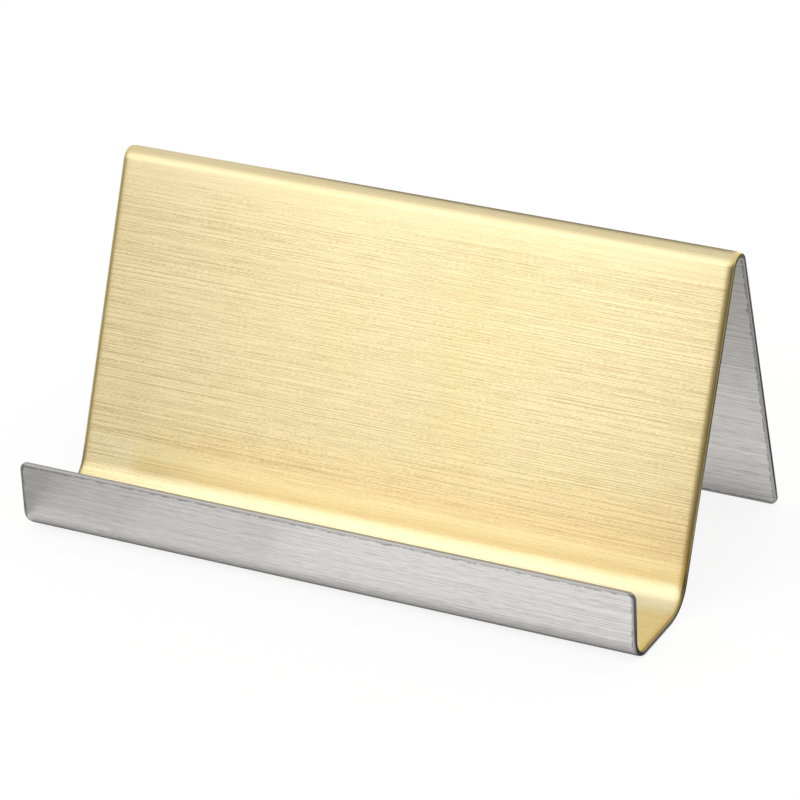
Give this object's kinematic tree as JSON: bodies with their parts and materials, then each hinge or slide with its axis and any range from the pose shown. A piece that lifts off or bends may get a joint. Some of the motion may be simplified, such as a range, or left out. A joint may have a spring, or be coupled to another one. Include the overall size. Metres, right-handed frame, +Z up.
{
  "type": "business card holder stand",
  "caption": "Free-standing holder bent from one sheet: a front lip, a tray and a leaning face that hold a stack of business cards, propped by a rear leg.",
  "frame": {"origin": "middle of the footprint, on the table", "axes": "+X along the width to the right as seen from the front, +Y to the back, +Z up; the lip faces -Y"},
  "size_m": [0.1, 0.0508, 0.047],
  "materials": {
    "bare_steel": "bare stainless steel, brushed along the width",
    "gold_finish": "satin pale gold, brushed along the width"
  },
  "bodies": {
    "root": {"steel_sheet": "bare_steel", "gold_coat": "gold_finish"}
  },
  "joints": []
}
